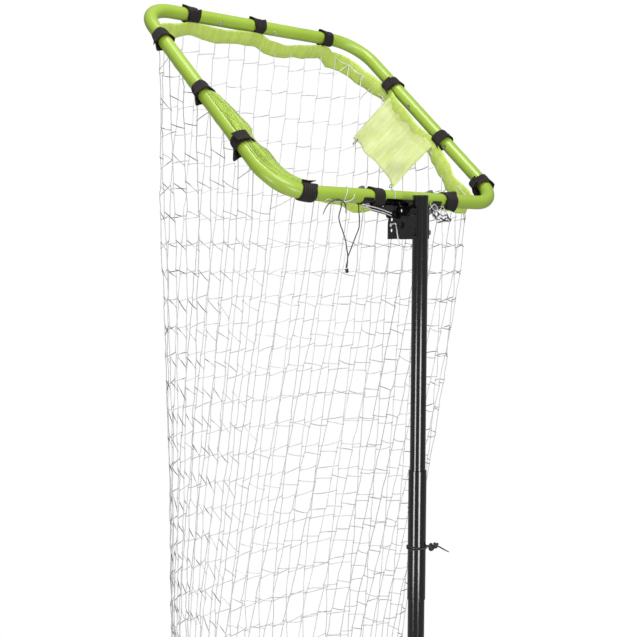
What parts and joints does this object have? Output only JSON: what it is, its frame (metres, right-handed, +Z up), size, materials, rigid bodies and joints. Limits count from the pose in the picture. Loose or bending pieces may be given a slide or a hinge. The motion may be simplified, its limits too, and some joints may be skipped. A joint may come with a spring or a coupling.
{
  "type": "ball return tower",
  "caption": "Tall ball return: a tilted rounded-square tube hoop on a telescopic mast, with a hanging net chute below it and an H-shaped floor base.",
  "frame": {"origin": "centre of the base's footprint, at floor level", "axes": "+Z up, +X along the hoop's low side, +Y from the mast towards the hoop and net"},
  "size_m": [0.78, 1.006, 2.4183],
  "materials": {
    "lime_paint": "gloss lime green powder coat",
    "black_paint": "gloss black powder coat",
    "black_steel": "black oxide steel",
    "zinc": "zinc plated steel",
    "black_plastic": "moulded black plastic",
    "black_rubber": "moulded black rubber",
    "strap_black": "black hook and loop webbing",
    "lime_fabric": "lime woven polyester",
    "twine": "white knotted twine",
    "black_cord": "black braided cord"
  },
  "bodies": {
    "base": {"base_skid_left": "black_paint", "base_skid_right": "black_paint", "base_cross_tube": "black_paint", "tee_left": "black_paint", "tee_right": "black_paint", "mast_socket": "black_paint", "base_bolts": "zinc", "skid_caps": "black_plastic", "floor_feet": "black_rubber", "mast_lower": "black_paint", "clamp_sleeve": "black_paint", "sleeve_bush": "black_plastic", "clamp_nut": "black_paint", "tie_cord": "black_cord"},
    "upper_mast": {"mast_upper": "black_paint", "mast_cap": "black_plastic", "bracket_plate_left": "black_paint", "bracket_plate_right": "black_paint", "bracket_bolts": "black_steel", "bracket_nuts": "zinc", "pivot_bolt": "black_steel", "pivot_nut": "zinc", "net_front": "twine", "net_back": "twine", "net_left": "twine", "net_right": "twine", "net_hem": "twine", "net_lace": "twine"},
    "hoop": {"hoop_corner_front_left": "lime_paint", "hoop_corner_front_right": "lime_paint", "hoop_corner_back_left": "lime_paint", "hoop_corner_back_right": "lime_paint", "joint_sleeves": "zinc", "joint_screws": "zinc", "hoop_saddle": "black_paint", "saddle_lug_left": "black_paint", "saddle_lug_right": "black_paint", "pivot_spacer": "zinc", "saddle_bolts": "zinc", "saddle_nuts": "zinc", "strap_back_1": "strap_black", "strap_back_2": "strap_black", "strap_back_3": "strap_black", "strap_right_1": "strap_black", "strap_right_2": "strap_black", "strap_right_3": "strap_black", "strap_front_1": "strap_black", "strap_front_2": "strap_black", "strap_front_3": "strap_black", "strap_left_1": "strap_black", "strap_left_2": "strap_black", "strap_left_3": "strap_black", "net_band": "lime_fabric", "mesh_flap": "lime_fabric", "draw_cord": "black_cord", "draw_knot": "black_cord"},
    "stop_pin": {"stop_pin": "black_steel"},
    "height_knob": {"height_knob": "black_plastic"}
  },
  "joints": [
    {"name": "mast_slide", "type": "slide", "parent": "base", "child": "upper_mast", "axis": [0, 0, 1], "range_m": [-0.35, 0.15]},
    {"name": "hoop_tilt", "type": "hinge", "parent": "upper_mast", "child": "hoop", "pos_m": [0, -0.16, 1.89], "axis": [1, 0, 0], "range_deg": [0, 26]},
    {"name": "stop_pin_pull", "type": "slide", "parent": "upper_mast", "child": "stop_pin", "axis": [-1, 0, 0], "range_m": [0, 0.046]},
    {"name": "height_knob_turn", "type": "hinge", "parent": "base", "child": "height_knob", "pos_m": [0, -0.2, 1.26], "axis": [0.6561, 0.7547, 0], "range_deg": [0, 720]}
  ]
}
